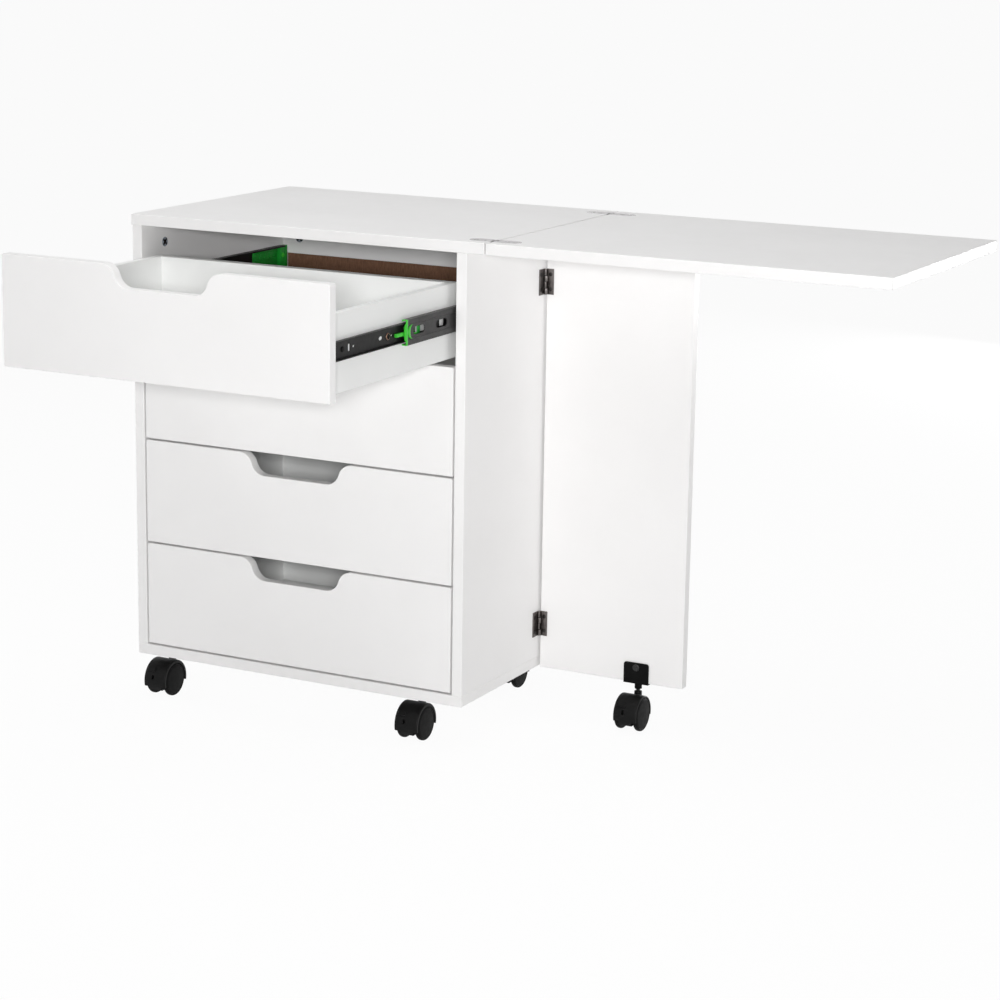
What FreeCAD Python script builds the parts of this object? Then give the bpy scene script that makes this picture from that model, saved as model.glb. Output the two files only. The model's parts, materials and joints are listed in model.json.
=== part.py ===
import FreeCAD, Part
import math
import os
from FreeCAD import Vector

# A sewing and cutting table on casters, in millimetres.
# A cabinet of drawers carries a fixed top, a leaf that folds flat over that top,
# and a gate that swings out on its own caster to carry the open leaf.
# The floor is zero, X runs towards the leaf and Y runs towards the back.

# Boards and overall sizes
table_height = 740.0
top_width = 586.0
leaf_width = 586.0
top_depth = 440.0
board = 16.0
edge_bevel = 0.6
seam_gap = 2.6
top_overhang = 27.0
back_overhang = 29.0
side_reveal = 1.5
front_reveal = 1.0
underside_height = 70.0
back_board = 3.0
rail_height = 84.0

# Clearances that all pieces share
overrun = 2.0
fit_gap = 0.3
pin_gap = 0.06

# Drawers
drawer_count = 4
drawer_gap = 3.0
drawer_back_space = 41.0
drawer_travel_left = 15.0
front_corner = 3.0
grip_width = 190.0
grip_flat = 105.0
grip_depth = 32.0
box_board = 12.0
box_back_board = 16.0
box_height = 105.0
box_lift = 8.0
bottom_board = 4.0
bottom_lift = 10.0
groove_depth = 5.0
groove_gap = 0.2

# Ball-bearing slides, measured from the cabinet wall towards the drawer
slide_space = 12.7
slide_setback = 3.0
slide_lift = 64.7
rail_wall = 1.2
case_rail_height = 45.6
case_rail_depth = 9.6
case_rail_lip = 2.4
case_rail_tail = 14.0
mid_rail_height = 35.2
mid_rail_setback = 15.3
mid_rail_stand_off = 3.4
mid_rail_depth = 7.2
mid_rail_lip = 2.0
mid_rail_band = 10.2
mid_rail_step = 1.2
mid_slot_length = 32.0
mid_slot_width = 11.0
mid_slot_first = 36.7
mid_slot_pitch = 64.0
mid_slot_count = 3
drawer_rail_height = 26.0
drawer_rail_depth = 6.3
rail_hole_radius = 2.4
rail_hole_first = 27.5
rail_hole_pitch = 118.2
rail_slot_width = 2.6
rail_slot_height = 7.5
rail_slot_after = 17.2
pilot_before = 18.6
cage_length = 140.0
cage_width = 3.0
cage_end_gap = 20.0
cage_gap = 0.4
cap_length = 4.0
cap_wall = 2.4
bumper_bulge = 6.0
bumper_half = 10.5
tab_wall = 0.9
tab_sink = 1.0
tab_length = 11.0
tab_waist = 5.0
lever_start = 182.0
lever_length = 70.0
lever_height = 14.0
lever_wall = 1.6
thumb_lead = 18.0
thumb_length = 32.0
thumb_height = 4.8
thumb_drop = 1.5
damper_tail = 20.0
damper_length = 91.0
damper_height = 40.0
damper_depth = 1.8
damper_frame = 6.0
housing_depth = 7.4
housing_gap = 1.0
catch_length = 14.0
catch_height = 16.0
catch_lead = 31.0
guide_height = 7.0
guide_depth = 0.9

# Flush leaf hinges, each two plates joined by a short link on two pins
leaf_hinge_inset = 32.0
plate_reach = 38.0
plate_width = 25.0
plate_thick = 6.0
link_pin_depth = 2.2
link_pin_reach = 2.55
link_pin_radius = 0.9
link_radius = 2.0
link_width = 9.0

# Gate and its butt hinges
gate_width = 234.0
gate_setback = 245.0
gate_side_gap = 3.7
gate_top_gap = 0.5
gate_lift = 69.5
hinge_height = 38.0
hinge_drop = 49.5
hinge_knuckle_count = 5
hinge_knuckle_radius = 3.0
hinge_knuckle_gap = 0.3
hinge_pin_radius = 1.5
hinge_pin_offset = 3.3
hinge_leaf_thick = 1.2
hinge_fixed_leaf_width = 16.5
hinge_moving_leaf_width = 11.5

# Clip that holds the gate's caster
clip_width = 40.0
clip_height = 30.0
clip_wall = 2.0
clip_corner = 4.0
clip_place = 160.0
nut_radius = 5.8
nut_height = 4.2
nut_sides = 6

# Twin-wheel casters
wheel_radius = 25.0
wheel_width = 13.5
wheel_bevel = 2.0
axle_radius = 3.0
hood_gap = 2.4
hood_wall = 2.6
hood_web = 15.0
hood_web_drop = 11.0
hood_front_angle = -27.0
hood_rear_angle = 185.0
hood_window_width = 4.0
hood_window_height = 7.0
hood_window_depth = 5.0
web_wheel_gap = 0.8
caster_trail = 20.0
neck_radius = 5.2
neck_top = 60.0
stem_radius = 3.2
stem_low = 32.0
stem_seat = 14.0
flange_radius = 12.0
flange_thick = 2.5
caster_inset = 25.3
caster_right_inset = 93.0
caster_front_inset = 53.1
caster_back_inset = 50.0

# Sizes that follow from those above
cabinet_width = top_width - side_reveal - top_overhang
slide_length = top_depth - front_reveal - board - drawer_back_space - back_board - back_overhang
box_length = slide_length - box_back_board
drawer_out = slide_length - drawer_travel_left
mid_rail_length = slide_length - mid_rail_setback
rail_hole_count = 1 + int((slide_length - 2 * rail_hole_first) / rail_hole_pitch)

# Places that follow from the sizes
x_left = -(top_width + seam_gap + leaf_width) / 2
x_top_edge = x_left + top_width
x_leaf_edge = x_top_edge + seam_gap
x_right = x_leaf_edge + leaf_width
x_seam = (x_top_edge + x_leaf_edge) / 2
y_front = (drawer_out - front_reveal - top_depth) / 2
y_back = y_front + top_depth
y_side_front = y_front + front_reveal
y_inside_back = y_back - back_overhang - back_board
z_top_under = table_height - board
z_floor_board = underside_height + board
left_outside = x_left + side_reveal
left_inside = left_outside + board
right_outside = left_outside + cabinet_width
right_inside = right_outside - board
opening_width = right_inside - left_inside
opening_height = z_top_under - z_floor_board
front_width = opening_width - 2 * drawer_gap
front_height = (opening_height - (drawer_count + 1) * drawer_gap) / drawer_count
x_drawer = (left_inside + right_inside) / 2
walls = ((left_inside, 1), (right_inside, -1))
mid_out_share = 0.5


def block(low, high):
    """Box between two corners."""
    size = [b - a for a, b in zip(low, high)]
    return Part.makeBox(size[0], size[1], size[2], Vector(*low))


def panel(low, high):
    """Board with lightly broken edges."""
    shape = block(low, high)
    return shape.makeChamfer(edge_bevel, shape.Edges)


def rod(radius, start, end):
    """Round bar between two points."""
    run = Vector(*end) - Vector(*start)
    return Part.makeCylinder(radius, run.Length, Vector(*start), run)


def polygon(corners):
    """Face inside a closed chain of corners."""
    return Part.Face(Part.makePolygon(corners + corners[:1]))


def arc(start, middle, end):
    """Arc edge through three points."""
    return Part.Arc(start, middle, end).toShape()


def save(name, *solids):
    """Write one node, a single solid or a group of separate ones."""
    shape = solids[0] if len(solids) == 1 else Part.makeCompound(list(solids))
    shape.exportStep(os.path.join("parts", name + ".step"))


# Cabinet

def hinge_places():
    """Y of the two leaf hinges."""
    return (y_front + leaf_hinge_inset, y_back - leaf_hinge_inset)


def half_oblong(x_edge, direction, y_middle, grow, z_low, z_high):
    """Round-ended half plate that starts at a board's edge at the seam."""
    radius = plate_width / 2 + grow
    x_bend = x_edge + direction * (plate_reach - plate_width / 2)
    corner = [Vector(x_edge, y_middle - radius, z_low), Vector(x_bend, y_middle - radius, z_low),
              Vector(x_bend, y_middle + radius, z_low), Vector(x_edge, y_middle + radius, z_low)]
    tip = Vector(x_bend + direction * radius, y_middle, z_low)
    wire = Part.Wire([Part.makeLine(corner[0], corner[1]), arc(corner[1], tip, corner[2]),
                      Part.makeLine(corner[2], corner[3]), Part.makeLine(corner[3], corner[0])])
    return Part.Face(wire).extrude(Vector(0, 0, z_high - z_low))


def worktop(x_low, x_high, x_edge, direction):
    """Fixed top or leaf, with a pocket for each flush hinge plate."""
    top = panel((x_low, y_front, z_top_under), (x_high, y_back, table_height))
    z_pocket = table_height - plate_thick
    for y in hinge_places():
        start = x_edge - direction * overrun
        pocket = half_oblong(x_edge, direction, y, fit_gap, z_pocket, table_height + overrun)
        mouth = block((min(start, x_edge), y - plate_width / 2 - fit_gap, z_pocket),
                      (max(start, x_edge), y + plate_width / 2 + fit_gap, table_height + overrun))
        top = top.cut(pocket.fuse(mouth))
    return top


def caster_places():
    """Stem centres of the cabinet's casters, front left first."""
    xs = (left_outside + caster_inset, right_outside - caster_right_inset)
    ys = (y_side_front + caster_front_inset, y_inside_back - caster_back_inset)
    return [(x, y) for y in ys for x in xs]


def bottom_panel():
    """Floor board of the cabinet, bored for the caster stems."""
    shape = panel((left_outside, y_side_front, underside_height),
                  (right_outside, y_inside_back, z_floor_board))
    for x, y in caster_places():
        shape = shape.cut(rod(stem_radius + fit_gap, (x, y, underside_height - overrun),
                              (x, y, underside_height + stem_seat)))
    return shape


def side_panel(x_low):
    """Upright that stands on the floor board."""
    return panel((x_low, y_side_front, z_floor_board), (x_low + board, y_inside_back, z_top_under))


def caster_socket(x, y):
    """Stem with a round flange under the floor board."""
    stem = rod(stem_radius, (x, y, stem_low), (x, y, underside_height + stem_seat))
    flange = rod(flange_radius, (x, y, underside_height - flange_thick), (x, y, underside_height))
    return stem.fuse(flange).removeSplitter()


def make_cabinet():
    save("fixed_top", worktop(x_left, x_top_edge, x_top_edge, -1))
    save("left_side_panel", side_panel(left_outside))
    save("right_side_panel", side_panel(right_inside))
    save("bottom_panel", bottom_panel())
    save("back_panel", block((left_outside, y_inside_back, underside_height),
                             (right_outside, y_inside_back + back_board, z_top_under)))
    save("top_back_rail", panel((left_inside, y_inside_back - board, z_top_under - rail_height),
                                (right_inside, y_inside_back, z_top_under)))
    save("caster_sockets", *[caster_socket(x, y) for x, y in caster_places()])


# Drawers

def front_low(index):
    """Lower edge of a drawer front, counted from the top drawer."""
    return z_floor_board + drawer_gap + (drawer_count - 1 - index) * (front_height + drawer_gap)


def pulled_out(index):
    """How far a drawer stands open: only the top one does."""
    return drawer_out if index == 0 else 0


def front_outline(y, z_low):
    """Drawer front with rounded upper corners and a scooped finger grip in its upper edge."""
    half = front_width / 2
    z_high = z_low + front_height
    run = (grip_width - grip_flat) / 2
    bend = (run ** 2 + grip_depth ** 2) / (4 * grip_depth)
    turn = 2 * math.atan2(grip_depth, run)

    def at(x, z):
        return Vector(x_drawer + x, y, z)

    def on_arc(x, z, radius, angle, side):
        return at(side * (x + radius * math.cos(angle)), z + radius * math.sin(angle))

    def shoulder(side):
        """Edges from the outer side to the middle of the grip, on one hand."""
        quarter = math.pi / 4
        corner = [on_arc(half - front_corner, z_high - front_corner, front_corner, a, side)
                  for a in (0, quarter, 2 * quarter)]
        over = [on_arc(grip_width / 2, z_high - bend, bend, 2 * quarter + a, side)
                for a in (0, turn / 2, turn)]
        under = [on_arc(grip_flat / 2, z_high - grip_depth + bend, bend, -2 * quarter + a, side)
                 for a in (turn, turn / 2, 0)]
        return [Part.makeLine(at(side * half, z_low), corner[0]), arc(*corner),
                Part.makeLine(corner[2], over[0]), arc(*over), arc(over[2], under[1], under[2])]

    edges = shoulder(1) + shoulder(-1)
    edges.append(Part.makeLine(at(-half, z_low), at(half, z_low)))
    edges.append(Part.makeLine(at(-grip_flat / 2, z_high - grip_depth),
                               at(grip_flat / 2, z_high - grip_depth)))
    return Part.Face(Part.Wire(Part.__sortEdges__(edges)))


def make_drawer(index):
    name = "drawer_%d_" % (index + 1)
    y = y_side_front - pulled_out(index)
    z = front_low(index)
    y_box = y + board
    y_box_end = y_box + box_length
    z_box = z + box_lift
    x_low = left_inside + slide_space
    x_high = right_inside - slide_space
    z_bottom = z_box + bottom_lift
    groove = block((x_low + box_board - groove_depth, y_box - groove_depth, z_bottom - groove_gap),
                   (x_high - box_board + groove_depth, y_box_end + groove_depth,
                    z_bottom + bottom_board + groove_gap))
    front = front_outline(y, z).extrude(Vector(0, board, 0))
    rims = [e for e in front.Edges if e.BoundBox.YLength < board / 2]
    front = front.makeChamfer(edge_bevel, rims).cut(groove)
    sides = [block((a, y_box, z_box), (a + box_board, y_box_end, z_box + box_height)).cut(groove)
             for a in (x_low, x_high - box_board)]
    back = block((x_low, y_box_end, z_box), (x_high, y_box_end + box_back_board, z_box + box_height))
    bottom = block((x_low + box_board - groove_depth + groove_gap, y_box - groove_depth + groove_gap,
                    z_bottom),
                   (x_high - box_board + groove_depth - groove_gap,
                    y_box_end + groove_depth - groove_gap, z_bottom + bottom_board))
    save(name + "front", front)
    save(name + "sides", *sides)
    save(name + "back", back.cut(groove))
    save(name + "bottom", bottom)


# Slides

def along_y(wall, hand, outline, z_axis, y_low, y_high):
    """Rail of a cross-section given as steps off the wall and heights off the slide's axis."""
    corners = [Vector(wall + hand * u, y_low, z_axis + v) for u, v in outline]
    return polygon(corners).extrude(Vector(0, y_high - y_low, 0))


def with_lower_half(upper):
    """Closed outline from its upper half."""
    return upper + [(u, -v) for u, v in reversed(upper)]


def strip(wall, hand, u_low, u_high, z_low, z_high, y_low, y_high):
    """Plain bar between two steps off the wall."""
    outline = [(u_low, z_low), (u_high, z_low), (u_high, z_high), (u_low, z_high)]
    return along_y(wall, hand, outline, 0, y_low, y_high)


def slot(x_low, x_high, y_low, y_high, z_axis, width):
    """Round-ended bar across X, to cut a slot or to make a lever."""
    radius = width / 2
    a = Vector(x_low, y_low + radius, z_axis - radius)
    b = Vector(x_low, y_high - radius, z_axis - radius)
    c = Vector(x_low, y_high - radius, z_axis + radius)
    d = Vector(x_low, y_low + radius, z_axis + radius)
    wire = Part.Wire([Part.makeLine(a, b), arc(b, Vector(x_low, y_high, z_axis), c),
                      Part.makeLine(c, d), arc(d, Vector(x_low, y_low, z_axis), a)])
    return Part.Face(wire).extrude(Vector(x_high - x_low, 0, 0))


def across(wall, hand, u_low, u_high):
    """X of two steps off a wall, lower first."""
    return sorted((wall + hand * u_low, wall + hand * u_high))


def slide_axis(index):
    return front_low(index) + slide_lift


def slide_front():
    """Front end of a closed slide, just behind the drawer front."""
    return y_side_front + board + slide_setback


def slide_end():
    """Rear end of the moving rails when the slide is closed."""
    return slide_front() + slide_length


def case_rail_end():
    """Rear end of the cabinet rail, which runs on behind the closed drawer."""
    return slide_end() + case_rail_tail


def mid_front(index):
    """Front end of the middle rail, which moves half as far as its drawer."""
    return slide_front() + mid_rail_setback - pulled_out(index) * mid_out_share


def case_rail(index, wall, hand):
    """Channel screwed to the cabinet side, with its lips turned in over the balls."""
    half = case_rail_height / 2
    inner = case_rail_depth - rail_wall
    outline = with_lower_half([(0, half), (case_rail_depth, half), (case_rail_depth, half - case_rail_lip),
                               (inner, half - case_rail_lip), (inner, half - rail_wall),
                               (rail_wall, half - rail_wall)])
    return along_y(wall, hand, outline, slide_axis(index), slide_front(), case_rail_end())


def damper(index, wall, hand):
    """Soft-close unit: a catch on a guide, a bed with a spring trough, and a housing that caps the rail."""
    y_end = slide_end() + damper_tail
    y_bed = y_end - damper_length
    y_housing = slide_end() + housing_gap
    y_catch = y_bed - catch_lead - catch_length
    z = slide_axis(index)

    def bar(depth, height, y_low, y_high):
        return strip(wall, hand, rail_wall, rail_wall + depth, z - height / 2, z + height / 2, y_low, y_high)

    body = bar(damper_depth, damper_height, y_bed, y_end)
    body = body.fuse([bar(housing_depth, damper_height, y_housing, y_end),
                      bar(case_rail_depth - rail_wall, case_rail_height, case_rail_end(), y_end),
                      bar(guide_depth, guide_height, y_catch, y_bed),
                      bar(damper_depth, catch_height, y_catch, y_catch + catch_length)])
    u_floor = rail_wall + guide_depth
    half = damper_height / 2 - damper_frame
    trough = strip(wall, hand, u_floor, u_floor + housing_depth, z - half, z + half,
                   y_bed + damper_frame, y_housing - damper_frame)
    return body.cut(trough).removeSplitter()


def mid_rail(index, wall, hand):
    """Middle rail of the slide, with a raised band above and below its slotted web."""
    y = mid_front(index)
    z = slide_axis(index)
    half = mid_rail_height / 2
    u = mid_rail_stand_off
    u_end = u + mid_rail_depth
    u_web = u + mid_rail_step
    lag = rail_wall * math.tan(math.pi / 8)
    outline = with_lower_half([(u_web, mid_rail_band - mid_rail_step), (u, mid_rail_band), (u, half),
                               (u_end, half), (u_end, half - mid_rail_lip),
                               (u_end - rail_wall, half - mid_rail_lip),
                               (u_end - rail_wall, half - rail_wall), (u + rail_wall, half - rail_wall),
                               (u + rail_wall, mid_rail_band + lag),
                               (u_web + rail_wall, mid_rail_band - mid_rail_step + lag)])
    rail = along_y(wall, hand, outline, z, y + cap_length, y + mid_rail_length)
    x_low, x_high = across(wall, hand, u_web - overrun, u_web + rail_wall + overrun)
    for k in range(mid_slot_count):
        y_slot = y + mid_slot_first + k * mid_slot_pitch
        rail = rail.cut(slot(x_low, x_high, y_slot - mid_slot_length / 2, y_slot + mid_slot_length / 2,
                             z, mid_slot_width))
    return rail


def cages(index, wall, hand):
    """Ball cages of one slide: outer ones at the middle rail's rear, inner ones at its front."""
    y = mid_front(index)
    z = slide_axis(index)
    half = mid_rail_height / 2
    u_inner_lip = mid_rail_stand_off + mid_rail_depth - rail_wall
    u_case_lip = case_rail_depth - rail_wall
    u_outer = (mid_rail_stand_off + u_case_lip - cage_width) / 2
    u_inner = (mid_rail_stand_off + rail_wall + u_inner_lip - cage_width) / 2
    y_rear = y + mid_rail_length - cage_end_gap
    y_near = y + cap_length + cage_end_gap
    outer = (half, case_rail_height / 2 - rail_wall - cage_gap)
    inner = (drawer_rail_height / 2 + cage_gap, half - rail_wall)
    bars = []
    for side in (1, -1):
        low, high = sorted(side * v for v in outer)
        bars.append(strip(wall, hand, u_outer, u_outer + cage_width, z + low, z + high,
                          y_rear - cage_length, y_rear))
        low, high = sorted(side * v for v in inner)
        bars.append(strip(wall, hand, u_inner, u_inner + cage_width, z + low, z + high,
                          y_near, y_near + cage_length))
    return bars


def rail_cap(index, wall, hand):
    """Plastic cap on the middle rail: an open end plate, a round bumper and a crescent in the web's recess."""
    y = mid_front(index)
    z = slide_axis(index)
    half = mid_rail_height / 2
    u_end = mid_rail_stand_off + mid_rail_depth
    u_web = mid_rail_stand_off + mid_rail_step
    opening = drawer_rail_height / 2 + fit_gap
    outline = with_lower_half([(mid_rail_stand_off, half), (u_end, half), (u_end, opening),
                               (mid_rail_stand_off + cap_wall, opening)])
    plate = along_y(wall, hand, outline, z, y, y + cap_length)
    x_low, x_high = across(wall, hand, mid_rail_stand_off, mid_rail_stand_off + cap_wall)
    front = [Vector(x_low, y, z - bumper_half), Vector(x_low, y - bumper_bulge, z),
             Vector(x_low, y, z + bumper_half)]
    round_front = Part.Wire([arc(*front), Part.makeLine(front[2], front[0])])
    bumper = Part.Face(round_front).extrude(Vector(x_high - x_low, 0, 0))
    x_low, x_high = across(wall, hand, u_web - tab_wall, u_web)
    y_crown = y + cap_length - tab_sink
    tip = mid_rail_band - mid_rail_step - fit_gap
    tips = [Vector(x_low, y + cap_length + tab_length, z + v) for v in (-tip, tip)]
    crown = arc(tips[0], Vector(x_low, y_crown, z), tips[1])
    hollow = arc(tips[1], Vector(x_low, y_crown + tab_waist, z), tips[0])
    tab = Part.Face(Part.Wire([crown, hollow])).extrude(Vector(x_high - x_low, 0, 0))
    return plate.fuse([bumper, tab]).removeSplitter()


def drawer_rail(index, wall, hand):
    """Inner channel screwed to the drawer side, with screw holes, a pilot hole and a slot along its web."""
    y = slide_front() - pulled_out(index)
    z = slide_axis(index)
    half = drawer_rail_height / 2
    u_web = slide_space - rail_wall
    u_tip = slide_space - drawer_rail_depth
    outline = with_lower_half([(slide_space, half), (u_tip, half), (u_tip, half - rail_wall),
                               (u_web, half - rail_wall)])
    rail = along_y(wall, hand, outline, z, y, y + slide_length - slide_setback)
    screws = [y + rail_hole_first + k * rail_hole_pitch for k in range(rail_hole_count)]
    pilots = [y_screw - pilot_before for y_screw in screws[1:2]]
    u_low = u_web - overrun
    u_high = slide_space + overrun
    holes = [rod(rail_hole_radius, (wall + hand * u_low, y_hole, z), (wall + hand * u_high, y_hole, z))
             for y_hole in screws + pilots]
    y_slot = screws[0] + rail_slot_after
    holes.append(strip(wall, hand, u_low, u_high, z - rail_slot_height / 2, z + rail_slot_height / 2,
                       y_slot - rail_slot_width / 2, y_slot + rail_slot_width / 2))
    return rail.cut(holes)


def release_lever(index, wall, hand):
    """Finger lever in the drawer rail that frees the drawer from its slide."""
    y = y_side_front - pulled_out(index) + lever_start
    z = slide_axis(index)
    u_back = slide_space - rail_wall
    x_low, x_high = across(wall, hand, u_back - lever_wall, u_back)
    body = slot(x_low, x_high, y + thumb_lead, y + lever_length, z, lever_height)
    u_tip = slide_space - drawer_rail_depth + fit_gap
    x_low, x_high = across(wall, hand, u_tip, u_back)
    thumb = slot(x_low, x_high, y, y + thumb_length, z - thumb_drop, thumb_height)
    return body.fuse(thumb).removeSplitter()


def make_slides():
    save("case_rails", *[case_rail(i, *w) for i in range(drawer_count) for w in walls])
    save("soft_close_units", *[damper(i, *w) for i in range(drawer_count) for w in walls])
    for index in range(drawer_count):
        name = "drawer_%d_" % (index + 1)
        bars = [bar for w in walls for bar in cages(index, *w)]
        save(name + "mid_rails", *[mid_rail(index, *w) for w in walls], *bars)
        save(name + "rail_caps", *[rail_cap(index, *w) for w in walls])
        save(name + "rails", *[drawer_rail(index, *w) for w in walls])
        save(name + "release_levers", *[release_lever(index, *w) for w in walls])


# Leaf and its flush hinges

def hinge_plate(x_edge, direction, y):
    """Plate let into the top, with a slot for the link and a pin across the slot."""
    z_pin = table_height - link_pin_depth
    x_pin = x_seam + direction * link_pin_reach
    half = link_width / 2 + fit_gap
    x_slot = x_pin + direction * (link_radius + fit_gap)
    x_mouth = x_edge - direction * overrun
    plate = half_oblong(x_edge, direction, y, 0, table_height - plate_thick, table_height)
    opening = block((min(x_slot, x_mouth), y - half, z_pin - link_radius - fit_gap),
                    (max(x_slot, x_mouth), y + half, table_height + overrun))
    pin = rod(link_pin_radius, (x_pin, y - half - link_radius, z_pin), (x_pin, y + half + link_radius, z_pin))
    return plate.cut(opening).fuse(pin).removeSplitter()


def hinge_link(y):
    """Short link that joins the two plates and lets the leaf lie flat on the top."""
    z = table_height - link_pin_depth
    y_low = y - link_width / 2
    xs = (x_seam - link_pin_reach, x_seam + link_pin_reach)
    a = Vector(xs[0], y_low, z - link_radius)
    b = Vector(xs[1], y_low, z - link_radius)
    c = Vector(xs[1], y_low, z + link_radius)
    d = Vector(xs[0], y_low, z + link_radius)
    wire = Part.Wire([Part.makeLine(a, b), arc(b, Vector(xs[1] + link_radius, y_low, z), c),
                      Part.makeLine(c, d), arc(d, Vector(xs[0] - link_radius, y_low, z), a)])
    link = Part.Face(wire).extrude(Vector(0, link_width, 0))
    for x in xs:
        link = link.cut(rod(link_pin_radius + pin_gap, (x, y_low - overrun, z),
                            (x, y_low + link_width + overrun, z)))
    return link


def make_leaf():
    save("leaf_panel", worktop(x_leaf_edge, x_right, x_leaf_edge, 1))
    save("leaf_hinge_fixed_plates", *[hinge_plate(x_top_edge, -1, y) for y in hinge_places()])
    save("leaf_hinge_moving_plates", *[hinge_plate(x_leaf_edge, 1, y) for y in hinge_places()])
    save("leaf_hinge_links", *[hinge_link(y) for y in hinge_places()])


# Gate, its butt hinges and the clip for its caster

x_gate = right_outside + gate_side_gap
y_gate = y_front + gate_setback
z_gate_top = z_top_under - gate_top_gap
x_gate_caster = x_gate + clip_place
y_gate_caster = y_gate + board / 2
x_pin = right_outside + hinge_pin_offset
y_pin = y_gate - hinge_pin_offset


def gate_hinge_places():
    """Lower ends of the gate's two hinges."""
    return (gate_lift + hinge_drop, z_top_under - hinge_drop - hinge_height)


def knuckle_span(z_low, k):
    """Heights of one knuckle, with half the gap left off each end."""
    length = hinge_height / hinge_knuckle_count
    return (z_low + k * length + hinge_knuckle_gap / 2, z_low + (k + 1) * length - hinge_knuckle_gap / 2)


def hinge_leaf(plate, z_low, first):
    """Hinge leaf with its own knuckles and room for the other leaf's."""
    for k in range(hinge_knuckle_count):
        low, high = knuckle_span(z_low, k)
        if k % 2 == first:
            plate = plate.fuse(rod(hinge_knuckle_radius, (x_pin, y_pin, low), (x_pin, y_pin, high)))
        else:
            low -= hinge_knuckle_gap
            high += hinge_knuckle_gap
            plate = plate.cut(rod(hinge_knuckle_radius + fit_gap, (x_pin, y_pin, low), (x_pin, y_pin, high)))
    return plate


def fixed_leaf(z_low):
    """Leaf on the cabinet, with the pin pressed into its knuckles."""
    plate = block((right_outside, y_pin - hinge_fixed_leaf_width, z_low),
                  (right_outside + hinge_leaf_thick, y_pin, z_low + hinge_height))
    ends = (knuckle_span(z_low, 0)[0], knuckle_span(z_low, hinge_knuckle_count - 1)[1])
    pin = rod(hinge_pin_radius, (x_pin, y_pin, ends[0]), (x_pin, y_pin, ends[1]))
    return hinge_leaf(plate, z_low, 0).fuse(pin).removeSplitter()


def moving_leaf(z_low):
    """Leaf on the gate, bored to turn on the pin."""
    plate = block((x_pin, y_gate - hinge_leaf_thick, z_low),
                  (x_pin + hinge_moving_leaf_width, y_gate, z_low + hinge_height))
    bore = rod(hinge_pin_radius + pin_gap, (x_pin, y_pin, z_low - overrun),
               (x_pin, y_pin, z_low + hinge_height + overrun))
    return hinge_leaf(plate, z_low, 1).cut(bore).removeSplitter()


def caster_clip():
    """Bent clip that wraps the gate's lower edge, with rounded upper corners."""
    y_low = y_gate - clip_wall
    y_high = y_gate + board + clip_wall
    z_low = gate_lift - clip_wall
    z_high = gate_lift + clip_height
    x_low = x_gate_caster - clip_width / 2
    section = [(y_low, z_low), (y_high, z_low), (y_high, z_high), (y_high - clip_wall, z_high),
               (y_high - clip_wall, gate_lift), (y_low + clip_wall, gate_lift),
               (y_low + clip_wall, z_high), (y_low, z_high)]
    bent = polygon([Vector(x_low, y, z) for y, z in section]).extrude(Vector(clip_width, 0, 0))
    blank = block((x_low, y_low - overrun, z_low), (x_low + clip_width, y_high + overrun, z_high))
    upper = [e for e in blank.Edges
             if e.BoundBox.ZMin > gate_lift and e.BoundBox.YLength > board]
    bent = bent.common(blank.makeFillet(clip_corner, upper))
    return bent.cut(rod(stem_radius + fit_gap, (x_gate_caster, y_gate_caster, z_low - overrun),
                        (x_gate_caster, y_gate_caster, gate_lift + overrun)))


def gate_caster_stem():
    """Threaded stem with a hexagon nut under the clip."""
    x, y = x_gate_caster, y_gate_caster
    z_nut = gate_lift - clip_wall - nut_height
    stem = rod(stem_radius, (x, y, stem_low), (x, y, gate_lift + stem_seat))
    sides = [2 * math.pi * k / nut_sides for k in range(nut_sides)]
    corners = [Vector(x + nut_radius * math.cos(a), y + nut_radius * math.sin(a), z_nut) for a in sides]
    return stem.fuse(polygon(corners).extrude(Vector(0, 0, nut_height))).removeSplitter()


def make_gate():
    gate = panel((x_gate, y_gate, gate_lift), (x_gate + gate_width, y_gate + board, z_gate_top))
    gate = gate.cut(rod(stem_radius + fit_gap, (x_gate_caster, y_gate_caster, gate_lift - overrun),
                        (x_gate_caster, y_gate_caster, gate_lift + stem_seat)))
    save("gate_panel", gate)
    save("gate_hinge_fixed_leaves", *[fixed_leaf(z) for z in gate_hinge_places()])
    save("gate_hinge_moving_leaves", *[moving_leaf(z) for z in gate_hinge_places()])
    save("gate_caster_clip", caster_clip())
    save("gate_caster_stem", gate_caster_stem())


# Casters

hood_inside = wheel_radius + hood_gap
hood_outside = hood_inside + hood_wall
wheel_inner_face = hood_web / 2 + web_wheel_gap
wheel_outer_face = wheel_inner_face + wheel_width


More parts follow.
